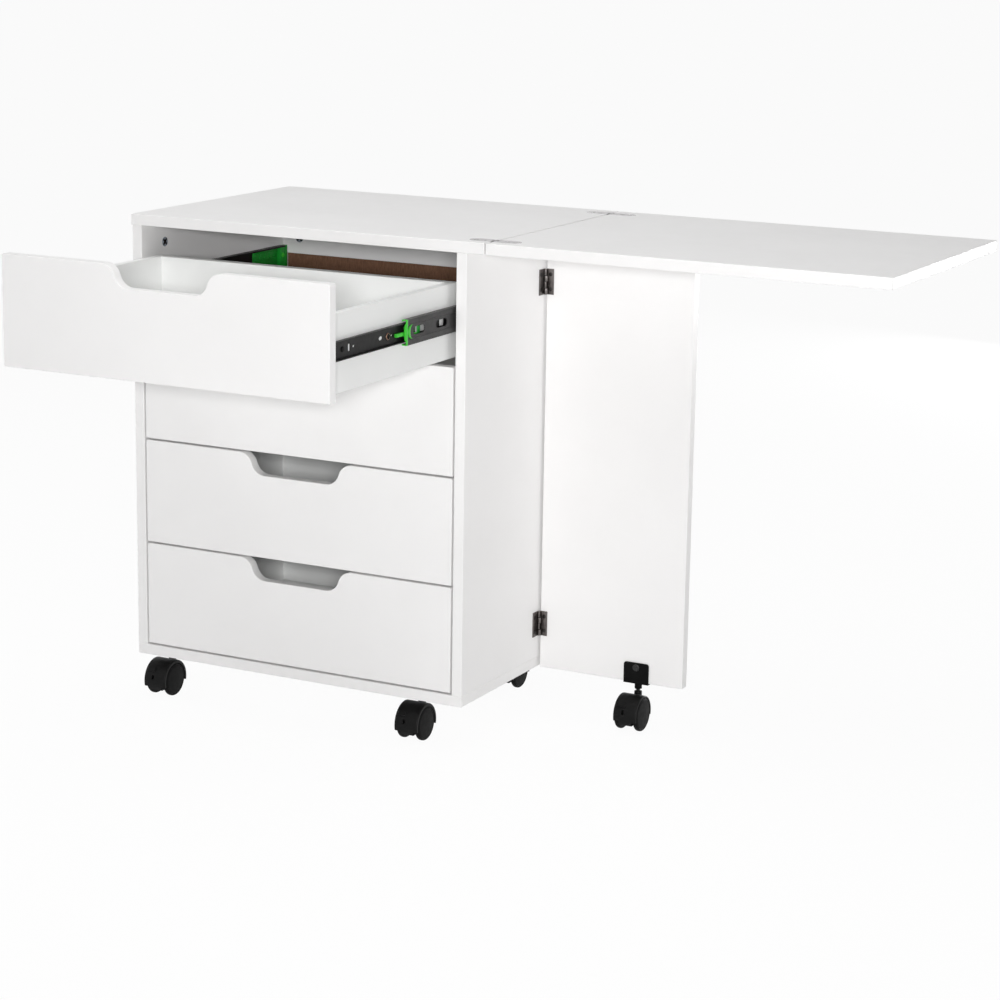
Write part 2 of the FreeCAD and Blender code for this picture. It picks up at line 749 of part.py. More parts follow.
def hood(x, y):
    """Hood over twin wheels, with a web between them and a neck that turns on the stem."""
    y_axle = y - caster_trail
    z_axle = wheel_radius
    x_low = x - wheel_outer_face

    def around(radius, degrees, x_at):
        angle = math.radians(degrees)
        return Vector(x_at, y_axle - radius * math.cos(angle), z_axle + radius * math.sin(angle))

    ends = (hood_front_angle, (hood_front_angle + hood_rear_angle) / 2, hood_rear_angle)
    outer = [around(hood_outside, a, x_low) for a in ends]
    inner = [around(hood_inside, a, x_low) for a in ends]
    wire = Part.Wire([arc(*outer), Part.makeLine(outer[2], inner[2]), arc(inner[2], inner[1], inner[0]),
                      Part.makeLine(inner[0], outer[0])])
    shell = Part.Face(wire).extrude(Vector(2 * wheel_outer_face, 0, 0))
    dip = math.degrees(math.asin(hood_web_drop / hood_outside))
    rim = [around(hood_outside, a, x - hood_web / 2) for a in (-dip, 90, 180 + dip)]
    web = Part.Face(Part.Wire([arc(*rim), Part.makeLine(rim[2], rim[0])])).extrude(Vector(hood_web, 0, 0))
    neck = rod(neck_radius, (x, y, z_axle), (x, y, neck_top))
    body = shell.fuse([web, neck]).removeSplitter()
    window = block((x - hood_window_width / 2, y_axle - hood_outside - overrun, z_axle - hood_window_height / 2),
                   (x + hood_window_width / 2, y_axle - hood_outside + hood_window_depth,
                    z_axle + hood_window_height / 2))
    axle_bore = rod(axle_radius + pin_gap, (x - hood_web, y_axle, z_axle), (x + hood_web, y_axle, z_axle))
    stem_bore = rod(stem_radius + pin_gap, (x, y, stem_low - fit_gap), (x, y, neck_top + overrun))
    return body.cut([window, axle_bore, stem_bore])


def wheel_pair(x, y):
    """Twin wheels fixed on their axle, turned from one outline."""
    y_axle = y - caster_trail
    half = [(wheel_outer_face, 0), (wheel_outer_face, wheel_radius - wheel_bevel),
            (wheel_outer_face - wheel_bevel, wheel_radius), (wheel_inner_face, wheel_radius),
            (wheel_inner_face, axle_radius)]
    outline = half + [(-u, radius) for u, radius in reversed(half)]
    face = polygon([Vector(x + u, y_axle, wheel_radius + radius) for u, radius in outline])
    return face.revolve(Vector(x, y_axle, wheel_radius), Vector(1, 0, 0), 360)


def make_casters():
    places = caster_places() + [(x_gate_caster, y_gate_caster)]
    names = ("front_left", "front_right", "rear_left", "rear_right", "gate")
    for name, (x, y) in zip(names, places):
        save(name + "_caster_hood", hood(x, y))
        save(name + "_caster_wheels", wheel_pair(x, y))


os.makedirs("parts", exist_ok=True)
make_cabinet()
for drawer in range(drawer_count):
    make_drawer(drawer)
make_slides()
make_leaf()
make_gate()
make_casters()
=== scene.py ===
import json
import math

import bmesh
import bpy
from mathutils import Matrix, Vector

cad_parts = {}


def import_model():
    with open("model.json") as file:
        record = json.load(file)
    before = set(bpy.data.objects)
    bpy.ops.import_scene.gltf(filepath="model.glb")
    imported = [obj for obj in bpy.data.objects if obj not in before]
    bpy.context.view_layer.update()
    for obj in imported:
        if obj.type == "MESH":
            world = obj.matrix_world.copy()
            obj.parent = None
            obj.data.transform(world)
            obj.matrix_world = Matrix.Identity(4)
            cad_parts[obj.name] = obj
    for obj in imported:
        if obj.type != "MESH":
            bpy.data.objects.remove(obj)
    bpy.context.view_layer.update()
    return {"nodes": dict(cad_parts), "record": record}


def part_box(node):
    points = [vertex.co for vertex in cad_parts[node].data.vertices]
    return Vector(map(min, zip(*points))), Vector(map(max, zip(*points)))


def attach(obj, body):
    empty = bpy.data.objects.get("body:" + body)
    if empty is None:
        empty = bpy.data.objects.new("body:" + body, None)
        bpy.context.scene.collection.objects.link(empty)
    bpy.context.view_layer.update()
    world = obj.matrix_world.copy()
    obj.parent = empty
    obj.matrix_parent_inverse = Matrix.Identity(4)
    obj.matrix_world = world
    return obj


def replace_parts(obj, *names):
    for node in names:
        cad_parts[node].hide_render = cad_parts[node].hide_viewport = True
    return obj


# Looks for a sewing and cutting table on casters, in metres and in the frame of its solids: a material
# for every node, the fasteners, finer hinges, slides and casters, studio light and the camera.

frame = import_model()
nodes = frame["nodes"]
mm = 0.001
drawers = (1, 2, 3, 4)
casters = ("front_left", "front_right", "rear_left", "rear_right", "gate")

# How finely round forms are divided, and the angle in degrees from which an edge is sharp
sharp_angle = 32
head_steps = 40
barrel_steps = 32
bore_steps = 28
cap_steps = 16
crescent_steps = 20
wheel_steps = 72
dome_steps = 6
hood_steps = 44
web_steps = 48
latch_steps = 8
flare_steps = 5
bend_steps = 6
small_bend_steps = 4

# Screws, as head radius, head height and the share of that height which rounds the rim
hinge_screw = (3.0 * mm, 0.5 * mm, 0.6)
plate_screw = (3.4 * mm, 0.25 * mm, 0.8)
clip_screw = (5.6 * mm, 1.8 * mm, 0.7)
rail_screw = (3.8 * mm, 1.5 * mm, 0.7)
bronze_screw = (5.0 * mm, 1.2 * mm, 0.7)
case_screw = (3.3 * mm, 0.9 * mm, 0.7)
screw_foot_share = 0.2
recess_depth_share = 0.8
recess_least_share = 0.12
recess_arm_share = 0.17
recess_tip_share = 0.55
recess_taper_share = 0.55

# Cam locks, as face radius and height, and the black crosses of painted shade in the cams' slots and the
# bronze screws' recesses, as shares of a radius for arm and tip
side_cam = (7.2 * mm, 0.35 * mm)
rail_cam = (7.4 * mm, 0.35 * mm)
cam_cross_shares = (0.26, 0.86)
bronze_cross_shares = (0.5, 0.72)
cross_proud = 0.05 * mm

# Turns of the crosses in degrees, so that no two neighbours stand alike
side_leaf_spin = 20
gate_leaf_spin = 35
plate_spin = 25
clip_spin = 12
rail_spin_first, rail_spin_step = 10, 30
case_spin_first, case_spin_step = 15, 40
cam_spin = 45

# Places of the fasteners on what carries them
hinge_screw_rise = 8 * mm
hinge_screw_inset = 5 * mm
plate_half = 12.5 * mm
plate_screw_reaches = (17 * mm, 29 * mm)
clip_screw_drop = 7.3 * mm
rail_web_depth = 5.1 * mm
rail_screw_first = 27.5 * mm
rail_screw_pitch = 118.2 * mm
rail_screw_count = 3
case_wall = 1.2 * mm
case_screw_steps = (33 * mm, 129 * mm)
cam_inset = 60 * mm
cam_drop = 30.6 * mm
cam_rail_inset = 30.9 * mm
cam_rail_drop = 58.5 * mm

# Gate hinges
hinge_height = 38 * mm
hinge_thick = 1.2 * mm
hinge_bevel = 0.2 * mm
pin_offset = 3.3 * mm
knuckle_count = 4
knuckle_gap = 0.5 * mm
knuckle_radius = 3.0 * mm
slim_knuckle = 2.1 * mm
knuckle_chamfer = 0.5 * mm

# Soft-close units, each measured from the cabinet wall, its own rear end and the slide's axis
unit_length = 91 * mm
unit_half = 20 * mm
unit_tail = 19 * mm
unit_cap = 6 * mm
unit_cap_half = 22.8 * mm
unit_cap_depth = 8.4 * mm
unit_bed = 1.0 * mm
unit_ridge = 1.8 * mm
unit_ridge_height = 4.5 * mm
unit_slot_share = 0.3
unit_track_share = 0.92
unit_ladder_share = 0.95
unit_housing = 7.4 * mm
unit_rib = 0.5 * mm
unit_rib_count = 5
unit_rib_share = 0.2
unit_boss_radius = 3.6 * mm
unit_boss_bore_share = 0.45
unit_boss_rise = 8 * mm
unit_catch = 14 * mm
unit_catch_lead = 31 * mm
unit_catch_share = 0.4
unit_bevel = 0.35 * mm

# Slide pieces, measured out from the drawer's side, back from a rail's front and up from the slide's axis
rail_half = 13 * mm
rail_depth = 6.3 * mm
rail_wall = 1.2 * mm
rail_round = 0.8 * mm
# Openings as middle, length and height, and bores as middle and half their length and height
rail_cuts = ((44.7 * mm, 5.4 * mm, 9.5 * mm), (236.5 * mm, 32 * mm, 11 * mm), (295.5 * mm, 13 * mm, 12 * mm))
rail_bores = ((56.5 * mm, 2.8 * mm, 1.6 * mm), (127.1 * mm, 5.0 * mm, 2.8 * mm),
              (156.3 * mm, 2.4 * mm, 1.3 * mm))
lever_far = 2.8 * mm
lever_half = 7 * mm
lever_bar = 2.5 * mm
lever_body = (189 * mm, 214 * mm)
lever_tail = (224.5 * mm, 232 * mm)
lever_bevel = 0.6 * mm
thumb_span = (163 * mm, 195 * mm)
thumb_half = 2.4 * mm
thumb_drop = 1.5 * mm
thumb_far = 6.1 * mm
cap_length = 4 * mm
cap_near = 2.1 * mm
cap_far = 9.3 * mm
cap_half = 17.6 * mm
cap_opening = 13.2 * mm
cap_wall = 1.2 * mm
cap_lip = 15.6 * mm
cap_bar = 2.4 * mm
cap_bar_half = 11.6 * mm
cap_bar_sink = 0.2 * mm
cap_bulge = 2.6 * mm
cap_bevel = 0.3 * mm
crescent_far = 9.5 * mm
crescent_near = 8.1 * mm
crescent_half = 10.0 * mm
crescent_reach = 17 * mm
crescent_crown = 5 * mm
crescent_waist = 5.5 * mm

# Casters, with each hood's outer radius and half width, and angles in degrees from the front
wheel_radius = 25 * mm
wheel_inner = 11.5 * mm
wheel_outer = 19.8 * mm
wheel_round = 2.8 * mm
wheel_back_round = 2.6 * mm
wheel_dome = 0.9 * mm
wheel_groove = 0.5 * mm
tread_edge_angle = 82
axle_radius = 3 * mm
cabinet_hood = (30.4 * mm, 18.8 * mm)
gate_hood = (28.4 * mm, 18.4 * mm)
hood_inside = 25.8 * mm
hood_round = 1.8 * mm
hood_front_angle = -14
hood_rear_angle = 193
web_half = 10.5 * mm
web_low = 12 * mm
neck_radius = 5.8 * mm
neck_foot = 7.6 * mm
neck_bore = 3.4 * mm
neck_top = 54.5 * mm
window_width = 4 * mm
window_height = 6.5 * mm
window_depth = 5 * mm
window_place = (-3 * mm, 7.5 * mm)
latch_width = 14 * mm
latch_place = -8 * mm
latch_angles = (31, 44)
latch_rise = 1.5 * mm

# Stem of the gate's caster, with the nut that holds it to its clip
stem_radius = 3.2 * mm
thread_depth = 0.35 * mm
thread_pitch = 1.25 * mm
thread_flat_share = 0.125
nut_radius = 6.0 * mm
nut_height = 8.0 * mm
nut_chamfer = 0.8 * mm
nut_foot = 58 * mm
nut_sides = 6

# Studio: lamps as name, place, the point they face, width and height, and power
lamps = (("key", (1.6, -3.32, 1.24), (-0.1, 0.1, 0.5), (0.7, 0.3), 79),
         ("side", (3.4, -0.2, 0.42), (0, 0.1, 0.4), (2.0, 0.56), 13),
         ("top", (-0.3, -0.5, 2.8), (-0.1, -0.1, 0.7), (2.4, 2.0), 36),
         ("back", (0.6, 3.6, 0.42), (-0.2, 0.2, 0.4), (2.4, 0.56), 48),
         ("left", (-3.4, 0.0, 0.42), (0, 0.1, 0.4), (2.0, 0.56), 30))
world_strength = 0.11
floor_half = 30
floor_grey = 0.90
floor_rough = 0.9
floor_specular = 0.1
floor_glow_share = 0.95
camera_place = (1.69695, -3.2933, 1.22599)
camera_yaw, camera_pitch, camera_roll = 27.23, 13.03, 0.91
camera_lens = 96.49
camera_sensor = 36


# Materials

class Look:
    """One procedural material: a shader, and patterns laid in the object's own coordinates."""

    def __init__(self, name, metallic=0.0, specular=0.5):
        self.material = bpy.data.materials.new(name)
        self.material.use_nodes = True
        self.tree = self.material.node_tree
        self.shader = self.tree.nodes["Principled BSDF"]
        self.shader.inputs["Metallic"].default_value = metallic
        self.shader.inputs["Specular IOR Level"].default_value = specular
        self.coordinates = self.tree.nodes.new("ShaderNodeTexCoord").outputs["Object"]

    def link(self, source, target):
        self.tree.links.new(source, target)

    def noise(self, scale, detail=2.0, stretch=(1, 1, 1)):
        """Noise with so many features to a metre, drawn out where stretch is under 1."""
        mapping = self.tree.nodes.new("ShaderNodeMapping")
        mapping.inputs["Scale"].default_value = stretch
        self.link(self.coordinates, mapping.inputs["Vector"])
        texture = self.tree.nodes.new("ShaderNodeTexNoise")
        texture.inputs["Scale"].default_value = scale
        texture.inputs["Detail"].default_value = detail
        self.link(mapping.outputs["Vector"], texture.inputs["Vector"])
        return texture.outputs["Fac"]

    def cells(self, scale):
        """Random value for each cell of a crystal pattern."""
        texture = self.tree.nodes.new("ShaderNodeTexVoronoi")
        texture.inputs["Scale"].default_value = scale
        self.link(self.coordinates, texture.inputs["Vector"])
        split = self.tree.nodes.new("ShaderNodeSeparateColor")
        self.link(texture.outputs["Color"], split.inputs["Color"])
        return split.outputs["Red"]

    def spread(self, factor, low=0.0, high=1.0, start=0.3, end=0.7):
        """Stretch the span of a pattern from start to end so that it runs between two values."""
        node = self.tree.nodes.new("ShaderNodeMapRange")
        for socket, value in (("From Min", start), ("From Max", end), ("To Min", low), ("To Max", high)):
            node.inputs[socket].default_value = value
        self.link(factor, node.inputs["Value"])
        return node.outputs["Result"]

    def mix(self, factor, first, second):
        """Colour between two colours, each fixed or the result of an earlier mix."""
        node = self.tree.nodes.new("ShaderNodeMix")
        node.data_type = "RGBA"
        self.link(factor, node.inputs["Factor"])
        # The colour sockets share their names with those for numbers, so they go by place
        for socket, colour in ((node.inputs[6], first), (node.inputs[7], second)):
            if isinstance(colour, bpy.types.NodeSocket):
                self.link(colour, socket)
            else:
                socket.default_value = (*colour, 1)
        return node.outputs[2]

    def paint(self, colour):
        self.link(colour, self.shader.inputs["Base Color"])

    def gloss(self, factor, low, high):
        """Roughness that wanders between two values."""
        self.link(self.spread(factor, low, high), self.shader.inputs["Roughness"])

    def emboss(self, *layers):
        """Stack relief, each layer a pattern with its depth."""
        normal = None
        for height, depth in layers:
            node = self.tree.nodes.new("ShaderNodeBump")
            node.inputs["Strength"].default_value = 1
            node.inputs["Distance"].default_value = depth
            self.link(height, node.inputs["Height"])
            if normal is not None:
                self.link(normal, node.inputs["Normal"])
            normal = node.outputs["Normal"]
        self.link(normal, self.shader.inputs["Normal"])


def laminate(name, tint, shade):
    """Satin melamine board: faint cloudiness, fine pressed grain and an uneven sheen."""
    look = Look(name, specular=0.45)
    cloud = look.spread(look.noise(scale=5, detail=3))
    look.paint(look.mix(cloud, shade, tint))
    look.gloss(look.noise(scale=60, detail=3), low=0.34, high=0.46)
    look.emboss((look.noise(scale=260), 0.012 * mm), (look.noise(scale=1700), 0.006 * mm))
    return look.material


def hardboard(name):
    """Pressed brown fibre, lacquered white on the outer face."""
    light_fibre, dark_fibre, dark_speck = (0.240, 0.126, 0.075), (0.160, 0.080, 0.047), (0.110, 0.053, 0.031)
    lacquer_tint, lacquer_shade = (0.85, 0.85, 0.84), (0.80, 0.80, 0.79)
    low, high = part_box("back_panel")
    look = Look(name, specular=0.3)
    fibre = look.spread(look.noise(scale=420, detail=4, stretch=(1, 1, 0.25)))
    speck = look.spread(look.noise(scale=2400), start=0.52)
    brown = look.mix(fibre, dark_fibre, light_fibre)
    brown = look.mix(speck, brown, dark_speck)
    split = look.tree.nodes.new("ShaderNodeSeparateXYZ")
    look.link(look.coordinates, split.inputs["Vector"])
    middle = (low.y + high.y) / 2
    outside = look.spread(split.outputs["Y"], start=middle, end=middle + 0.1 * mm)
    lacquer = look.mix(look.spread(look.noise(scale=7, detail=3)), lacquer_shade, lacquer_tint)
    look.paint(look.mix(outside, brown, lacquer))
    look.gloss(look.noise(scale=90, detail=3), low=0.5, high=0.72)
    look.emboss((look.noise(scale=700, detail=3), 0.03 * mm))
    return look.material


def coated(name, tint, shade, rough, grain, specular, metallic=0.0):
    """Paint or moulded plastic: two near tones, a patchy sheen and a fine grain of a given depth."""
    look = Look(name, metallic=metallic, specular=specular)
    look.paint(look.mix(look.spread(look.noise(scale=35, detail=4)), shade, tint))
    look.gloss(look.noise(scale=150, detail=3), *rough)
    look.emboss((look.noise(scale=1500, detail=3), grain))
    return look.material


def metal(name, tint, shade, rough, grain, stretch=(1, 1, 1)):
    """Bare or plated steel with fine scratches drawn out along one direction."""
    look = Look(name, metallic=1.0)
    scratch = look.noise(scale=1600, detail=3, stretch=stretch)
    look.paint(look.mix(look.spread(look.noise(scale=90, detail=4)), shade, tint))
    look.gloss(scratch, *rough)
    look.emboss((scratch, grain))
    return look.material


def zinc(name):
    """Zinc plate with its crystal spangle."""
    look = Look(name, metallic=1.0)
    look.paint(look.mix(look.cells(scale=700), (0.46, 0.47, 0.49), (0.66, 0.67, 0.68)))
    look.gloss(look.noise(scale=300, detail=3), low=0.26, high=0.42)
    look.emboss((look.noise(scale=1300), 0.008 * mm))
    return look.material


def grey(level):
    return (level, level, level)


white = laminate("white_laminate", (0.900, 0.892, 0.888), (0.870, 0.862, 0.858))
box_white = laminate("drawer_laminate", (0.880, 0.885, 0.875), (0.850, 0.855, 0.845))
brown_board = hardboard("brown_hardboard")
black_coat = coated("black_rail_coat", grey(0.010), grey(0.006), (0.30, 0.46), 0.004 * mm, 0.15)
grey_coat = coated("grey_rail_coat", (0.050, 0.049, 0.049), (0.038, 0.037, 0.037), (0.34, 0.48),
                   0.004 * mm, 0.2)
green = coated("green_plastic", (0.060, 0.560, 0.045), (0.045, 0.480, 0.035), (0.28, 0.40),
               0.004 * mm, 0.3)
# A darker copy of the green plastic, which paints shade: the shade deep in the cabinet on the soft-close units
# and the shade on the lever tails
shaded_green = coated("shaded_green_plastic", (0.010, 0.300, 0.030), (0.007, 0.225, 0.022), (0.34, 0.48),
                    0.006 * mm, 0.3)
bright = metal("bright_hinge_plate", (0.36, 0.345, 0.35), (0.24, 0.23, 0.235), (0.16, 0.30),
               0.002 * mm, (0.1, 1, 1))
nickel = metal("dark_nickel", (0.17, 0.155, 0.15), (0.11, 0.10, 0.097), (0.24, 0.40),
               0.004 * mm, (1, 1, 0.1))
blackened = metal("blackened_screw", (0.075, 0.070, 0.068), (0.040, 0.038, 0.037), (0.25, 0.40), 0.003 * mm)
black_screw = coated("black_screw_head", grey(0.012), grey(0.007), (0.20, 0.32), 0.003 * mm, 0.4)
bronzed = metal("bronzed_screw", (0.40, 0.25, 0.18), (0.22, 0.135, 0.10), (0.25, 0.40), 0.003 * mm)
plated = zinc("zinc_plate")
cam_zinc = coated("cam_zinc", (0.36, 0.40, 0.46), (0.29, 0.33, 0.38), (0.34, 0.48), 0.004 * mm, 0.5, 0.25)
black_clip = coated("black_powder_coat", grey(0.004), grey(0.002), (0.42, 0.56), 0.02 * mm, 0.08)
black_hood = coated("black_moulded_plastic", grey(0.006), grey(0.004), (0.36, 0.50), 0.012 * mm, 0.12)
black_tread = coated("black_wheel_plastic", grey(0.005), grey(0.0035), (0.44, 0.60), 0.016 * mm, 0.06)


# Meshes

def smooth(mesh):
    """Shade a mesh smooth apart from its sharp edges."""
    for polygon in mesh.polygons:
        polygon.use_smooth = True
    mesh.set_sharp_from_angle(angle=math.radians(sharp_angle))
    return mesh


def as_mesh(name, bm):
    bmesh.ops.recalc_face_normals(bm, faces=bm.faces)
    mesh = bpy.data.meshes.new(name)
    bm.to_mesh(mesh)
    bm.free()
    return smooth(mesh)


def settled(name, mesh, *modifiers):
    """Mesh with modifiers worked into it, each given as its kind and settings."""
    holder = bpy.data.objects.new(name, mesh)
    bpy.context.scene.collection.objects.link(holder)
    for kind, settings in modifiers:
        modifier = holder.modifiers.new(kind.title(), kind)
        for key, value in settings.items():
            setattr(modifier, key, value)
    evaluated = holder.evaluated_get(bpy.context.evaluated_depsgraph_get())
    result = bpy.data.meshes.new_from_object(evaluated)
    bpy.data.objects.remove(holder)
    result.name = name
    return smooth(result)


def bevelled(name, bm, width, segments=2):
    """Mesh from a bmesh with its sharp edges bevelled."""
    bevel = ("BEVEL", {"width": width, "segments": segments, "limit_method": "ANGLE"})
    return settled(name, as_mesh(name + "_blank", bm), bevel)


def cut_and_joined(name, mesh, steps):
    """Mesh with others joined to it or cut from it, each given as its operation and mesh."""
    tools = []
    for operation, other in steps:
        tool = bpy.data.objects.new(other.name, other)
        bpy.context.scene.collection.objects.link(tool)
        tools.append((operation, tool))
    bpy.context.view_layer.update()
    joins = [("BOOLEAN", {"object": tool, "operation": operation, "solver": "EXACT"})
             for operation, tool in tools]
    result = settled(name, mesh, *joins)
    for operation, tool in tools:
        bpy.data.objects.remove(tool)
    return result


def turned(bm, outline, steps, axis="Z", shift=(0, 0, 0)):
    """Add a body of revolution from (radius, height) points that start and end on its axis."""
    rings = []
    for radius, height in outline:
        if radius == 0:
            points = [Vector((0, 0, height))]
        else:
            angles = [2 * math.pi * k / steps for k in range(steps)]
            points = [Vector((radius * math.cos(a), radius * math.sin(a), height)) for a in angles]
        if axis == "X":
            points = [Vector((p.z, p.x, p.y)) for p in points]
        rings.append([bm.verts.new(p + Vector(shift)) for p in points])
    for first, second in zip(rings, rings[1:]):
        for k in range(steps):
            corners = [first[k % len(first)], first[(k + 1) % len(first)],
                       second[(k + 1) % len(second)], second[k % len(second)]]
            bm.faces.new(list(dict.fromkeys(corners)))


def join_rings(bm, first, second):
    """Add the faces between two rings of as many vertices."""
    for k in range(len(first)):
        j = (k + 1) % len(first)
        bm.faces.new((first[k], first[j], second[j], second[k]))


def prism(bm, axis, outline, low, high):
    """Add a straight piece between two places, of a (y, z) outline along X or an (x, z) one along Y."""
    def corner(place, across, up):
        return (place, across, up) if axis == "X" else (across, place, up)

    ends = [[bm.verts.new(corner(place, *point)) for point in outline] for place in (low, high)]
    bm.faces.new(ends[0])
    bm.faces.new(ends[1])
    join_rings(bm, *ends)


def sweep(bm, section, start, end, steps):
    """Carry a closed section of (x, radius) points round a caster's axle between two angles."""
    rings = []
    for k in range(steps + 1):
        a = math.radians(start + (end - start) * k / steps)
        rings.append([bm.verts.new((x, -r * math.cos(a), r * math.sin(a))) for x, r in section])
    for first, second in zip(rings, rings[1:]):
        join_rings(bm, first, second)
    bm.faces.new(rings[0])
    bm.faces.new(rings[-1])


def brick(bm, low, high):
    """Add a box between two corners."""
    middle = (Vector(low) + Vector(high)) / 2
    size = Vector(high) - Vector(low)
    bmesh.ops.create_cube(bm, size=1, matrix=Matrix.Translation(middle) @ Matrix.Diagonal((*size, 1)))


def wall_brick(bm, hand, near, far, y_span, z_span):
    """Add a box between two steps off a wall, towards +X or -X by its hand."""
    xs = sorted((hand * near, hand * far))
    brick(bm, (xs[0], y_span[0], z_span[0]), (xs[1], y_span[1], z_span[1]))


def wall_bricks(bm, hand, near, far, y_span, z_span):
    """Add a box above the axis and its mirror image below it."""
    low, high = z_span
    wall_brick(bm, hand, near, far, y_span, (low, high))
    wall_brick(bm, hand, near, far, y_span, (-high, -low))


def arc_points(centre, radius, start, end, steps):
    """Points of an arc in its own plane, angles in degrees."""
    angles = [math.radians(start + (end - start) * k / steps) for k in range(steps + 1)]
    return [(centre[0] + radius * math.cos(a), centre[1] + radius * math.sin(a)) for a in angles]


def cross_mesh(name, low, high, arm, tip, taper):
    """Cross of two arms between two heights, drawn in at its foot by a taper."""
    bm = bmesh.new()
    for x, y in ((tip, arm), (arm, tip)):
        brick(bm, (-x, -y, low), (x, y, high))
    for vertex in bm.verts:
        if vertex.co.z < (low + high) / 2:
            vertex.co.xy *= taper
    return as_mesh(name, bm)


def shade_cross(name, radius, height, shares):
    """Cross of painted shade that fills a slot or recess, all but flush with the face that it marks."""
    arm, tip = (share * radius for share in shares)
    return cross_mesh(name, 0, height + cross_proud, arm, tip, 1)


def screw_head(name, radius, height, round_share):
    """Screw head with a cross recess; a low one is a countersunk head, a tall one a pan head."""
    bm = bmesh.new()
    bend = min(height, radius) * round_share
    foot = -screw_foot_share * height
    outline = [(0, foot), (radius, foot), (radius, height - bend)]
    outline += arc_points((radius - bend, height - bend), bend, 22.5, 67.5, 2)
    outline += [(radius - bend, height), (0, height)]
    turned(bm, outline, head_steps)
    depth = max(height * recess_depth_share, recess_least_share * radius)
    recess = cross_mesh(name + "_recess", height - depth, height + 2 * depth, recess_arm_share * radius,
                        recess_tip_share * radius, recess_taper_share)
    return cut_and_joined(name, as_mesh(name + "_blank", bm), [("DIFFERENCE", recess)])


def cam_face(name, radius, height):
    """Face of a cam lock with a chamfered rim."""
    bm = bmesh.new()
    rim = height / 2
    outline = [(0, -height), (radius, -height), (radius, rim), (radius - rim, height), (0, height)]
    turned(bm, outline, head_steps)
    return as_mesh(name, bm)


def put(name, mesh, place, body, material, slot):
    """Set a piece in place, riding on its body."""
    piece = bpy.data.objects.new(name, mesh)
    bpy.context.scene.collection.objects.link(piece)
    piece.matrix_world = place
    if not mesh.materials:
        mesh.materials.append(material)
    piece.material_slots[0].link = "OBJECT"
    piece.material_slots[0].material = material
    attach(piece, body)
    return piece


def put_for(node, *piece):
    """Set a piece in place of a node of the solids."""
    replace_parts(put(*piece), node)


def facing(point, normal, spin):
    """Placement at a point with its own Z along a normal, turned by a spin in degrees."""
    turn = Vector(normal).to_track_quat("Z", "Y").to_matrix().to_4x4()
    return Matrix.Translation(point) @ turn @ Matrix.Rotation(math.radians(spin), 4, "Z")


# Materials of the nodes

def dress():
    finish = {"white_board": white, "hardboard": brown_board, "black_rail": black_coat,
              "grey_rail": grey_coat, "green_plastic": green, "bright_hinge": bright,
              "dark_nickel": nickel, "zinc_steel": plated, "black_bracket": black_clip,
              "black_plastic": black_hood, "black_wheel": black_tread}
    for subpart in frame["record"]["subparts"]:
        name = subpart["node"]
        material = finish[subpart["material_slot"]]
        if name.startswith("drawer_") and material is white and not name.endswith("front"):
            material = box_white
        nodes[name].data.materials.clear()
        nodes[name].data.materials.append(material)


# Screws and cam locks

def gate_hinge_screws():
    mesh = screw_head("hinge_screw_head", *hinge_screw)
    fixed_low, fixed_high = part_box("gate_hinge_fixed_leaves")
    _, moving_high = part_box("gate_hinge_moving_leaves")
    count = 0
    for foot in (fixed_low.z, fixed_high.z - hinge_height):
        for z in (foot + hinge_screw_rise, foot + hinge_height - hinge_screw_rise):
            count += 1
            on_side = Vector((fixed_low.x + hinge_thick, fixed_low.y + hinge_screw_inset, z))
            on_gate = Vector((moving_high.x - hinge_screw_inset, moving_high.y - hinge_thick, z))
            put("gate_hinge_side_screw_%d" % count, mesh, facing(on_side, (1, 0, 0), side_leaf_spin * count),
                "cabinet", blackened, "dark_nickel")
            put("gate_hinge_gate_screw_%d" % count, mesh, facing(on_gate, (0, -1, 0), gate_leaf_spin * count),
                "gate", blackened, "dark_nickel")


def leaf_hinge_screws():
    mesh = screw_head("plate_screw_head", *plate_screw)
    for node, body, direction in (("leaf_hinge_fixed_plates", "cabinet", -1),
                                  ("leaf_hinge_moving_plates", "leaf", 1)):
        low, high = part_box(node)
        edge = high.x if direction < 0 else low.x
        for row, y in enumerate((low.y + plate_half, high.y - plate_half)):
            for column, reach in enumerate(plate_screw_reaches):
                point = Vector((edge + direction * reach, y, high.z))
                place = facing(point, (0, 0, 1), plate_spin * (row + 2 * column))
                put("%s_screw_%d_%d" % (node, row + 1, column + 1), mesh, place, body, bright, "bright_hinge")


def clip_screws():
    mesh = screw_head("clip_screw_head", *clip_screw)
    low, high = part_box("gate_caster_clip")
    for name, y, normal in (("front", low.y, -1), ("rear", high.y, 1)):
        point = Vector(((low.x + high.x) / 2, y, high.z - clip_screw_drop))
        put("gate_caster_clip_screw_" + name, mesh, facing(point, (0, normal, 0), clip_spin), "gate",
            black_screw, "black_bracket")


